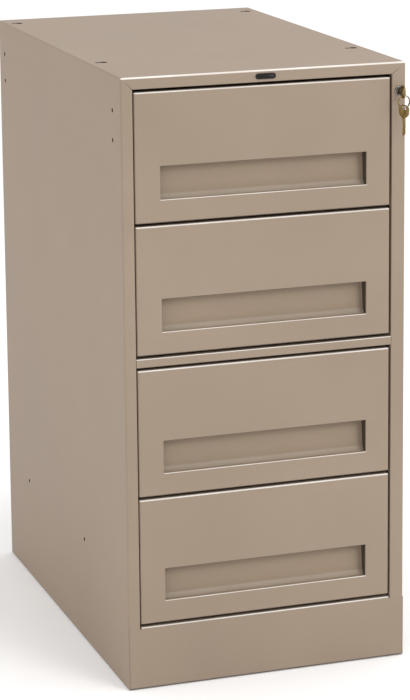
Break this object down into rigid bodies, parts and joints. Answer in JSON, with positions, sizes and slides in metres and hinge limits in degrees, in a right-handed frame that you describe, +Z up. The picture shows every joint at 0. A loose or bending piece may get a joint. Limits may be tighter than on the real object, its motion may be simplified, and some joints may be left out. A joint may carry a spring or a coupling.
{
  "type": "drawer pedestal cabinet",
  "caption": "Tan steel pedestal cabinet with four equal drawers on telescopic slides, recessed full-width pulls, a plain plinth and a keyed gang lock.",
  "frame": {"origin": "centre of the bounding box on the floor, with all drawers closed and the keys in the lock", "axes": "+Z up, -Y out of the drawer fronts, +X to the right seen from the front"},
  "size_m": [0.4572, 0.7434, 0.9588],
  "materials": {
    "tan_enamel": "satin baked enamel, fine texture",
    "inner_enamel": "satin baked enamel, thinner coat",
    "zinc_steel": "bright zinc plating",
    "nickel": "polished nickel plating",
    "brass": "bare brass, lightly handled",
    "black_plate": "gloss",
    "nylon": "matte moulded"
  },
  "bodies": {
    "cabinet": {"cabinet_shell": "tan_enamel", "back_panel": "tan_enamel", "bottom_pan": "inner_enamel", "base_front_panel": "tan_enamel", "base_channel_left": "inner_enamel", "base_channel_right": "inner_enamel", "glide_front_left": "nylon", "glide_front_right": "nylon", "glide_rear_left": "nylon", "glide_rear_right": "nylon", "divider_rail": "tan_enamel", "upright_front_left": "inner_enamel", "upright_front_right": "inner_enamel", "upright_rear_left": "inner_enamel", "upright_rear_right": "inner_enamel", "nameplate": "black_plate", "lock_housing": "nickel", "lock_nut": "zinc_steel", "drawer_1_cabinet_slide_left": "zinc_steel", "drawer_1_cabinet_slide_right": "zinc_steel", "drawer_2_cabinet_slide_left": "zinc_steel", "drawer_2_cabinet_slide_right": "zinc_steel", "drawer_3_cabinet_slide_left": "zinc_steel", "drawer_3_cabinet_slide_right": "zinc_steel", "drawer_4_cabinet_slide_left": "zinc_steel", "drawer_4_cabinet_slide_right": "zinc_steel"},
    "drawer_1": {"drawer_1_front": "tan_enamel", "drawer_1_pull_cup": "tan_enamel", "drawer_1_tray": "inner_enamel", "drawer_1_drawer_slide_left": "zinc_steel", "drawer_1_drawer_slide_right": "zinc_steel"},
    "drawer_1_middle_slides": {"drawer_1_middle_slide_left": "zinc_steel", "drawer_1_middle_slide_right": "zinc_steel"},
    "drawer_2": {"drawer_2_front": "tan_enamel", "drawer_2_pull_cup": "tan_enamel", "drawer_2_tray": "inner_enamel", "drawer_2_drawer_slide_left": "zinc_steel", "drawer_2_drawer_slide_right": "zinc_steel"},
    "drawer_2_middle_slides": {"drawer_2_middle_slide_left": "zinc_steel", "drawer_2_middle_slide_right": "zinc_steel"},
    "drawer_3": {"drawer_3_front": "tan_enamel", "drawer_3_pull_cup": "tan_enamel", "drawer_3_tray": "inner_enamel", "drawer_3_drawer_slide_left": "zinc_steel", "drawer_3_drawer_slide_right": "zinc_steel"},
    "drawer_3_middle_slides": {"drawer_3_middle_slide_left": "zinc_steel", "drawer_3_middle_slide_right": "zinc_steel"},
    "drawer_4": {"drawer_4_front": "tan_enamel", "drawer_4_pull_cup": "tan_enamel", "drawer_4_tray": "inner_enamel", "drawer_4_drawer_slide_left": "zinc_steel", "drawer_4_drawer_slide_right": "zinc_steel"},
    "drawer_4_middle_slides": {"drawer_4_middle_slide_left": "zinc_steel", "drawer_4_middle_slide_right": "zinc_steel"},
    "lock_core": {"lock_plug": "nickel", "lock_cam": "zinc_steel"},
    "locking_bar": {"lock_bar": "zinc_steel"},
    "turned_key": {"key_in_lock": "brass"},
    "split_ring": {"key_ring": "brass"},
    "hanging_key": {"spare_key": "brass"}
  },
  "joints": [
    {"name": "drawer_1_slide", "type": "slide", "parent": "cabinet", "child": "drawer_1", "axis": [0, -1, 0], "range_m": [0, 0.6]},
    {"name": "drawer_1_middle_slide", "type": "slide", "parent": "cabinet", "child": "drawer_1_middle_slides", "axis": [0, -1, 0], "range_m": [0, 0.3]},
    {"name": "drawer_2_slide", "type": "slide", "parent": "cabinet", "child": "drawer_2", "axis": [0, -1, 0], "range_m": [0, 0.6]},
    {"name": "drawer_2_middle_slide", "type": "slide", "parent": "cabinet", "child": "drawer_2_middle_slides", "axis": [0, -1, 0], "range_m": [0, 0.3]},
    {"name": "drawer_3_slide", "type": "slide", "parent": "cabinet", "child": "drawer_3", "axis": [0, -1, 0], "range_m": [0, 0.6]},
    {"name": "drawer_3_middle_slide", "type": "slide", "parent": "cabinet", "child": "drawer_3_middle_slides", "axis": [0, -1, 0], "range_m": [0, 0.3]},
    {"name": "drawer_4_slide", "type": "slide", "parent": "cabinet", "child": "drawer_4", "axis": [0, -1, 0], "range_m": [0, 0.6]},
    {"name": "drawer_4_middle_slide", "type": "slide", "parent": "cabinet", "child": "drawer_4_middle_slides", "axis": [0, -1, 0], "range_m": [0, 0.3]},
    {"name": "lock_turn", "type": "hinge", "parent": "cabinet", "child": "lock_core", "pos_m": [0.2176, -0.3427, 0.914], "axis": [0, -1, 0], "range_deg": [0, 90]},
    {"name": "lock_bar_lift", "type": "slide", "parent": "cabinet", "child": "locking_bar", "axis": [0, 0, 1], "range_m": [0, 0.0079]},
    {"name": "key_pull", "type": "slide", "parent": "lock_core", "child": "turned_key", "axis": [0, -1, 0], "range_m": [0, 0.0275]},
    {"name": "ring_swing", "type": "hinge", "parent": "turned_key", "child": "split_ring", "pos_m": [0.2176, -0.3624, 0.9055], "axis": [0, -1, 0], "range_deg": [-90, 60]},
    {"name": "spare_key_swing", "type": "hinge", "parent": "split_ring", "child": "hanging_key", "pos_m": [0.2176, -0.3624, 0.8933], "axis": [0.4695, -0.8829, 0], "range_deg": [-25, 25]}
  ],
  "couplings": [
    {"joint": "drawer_1_middle_slide", "follows": "drawer_1_slide", "ratio": 0.5},
    {"joint": "drawer_2_middle_slide", "follows": "drawer_2_slide", "ratio": 0.5},
    {"joint": "drawer_3_middle_slide", "follows": "drawer_3_slide", "ratio": 0.5},
    {"joint": "drawer_4_middle_slide", "follows": "drawer_4_slide", "ratio": 0.5},
    {"joint": "lock_turn", "follows": "lock_bar_lift", "rad_per_m": 198.83}
  ]
}
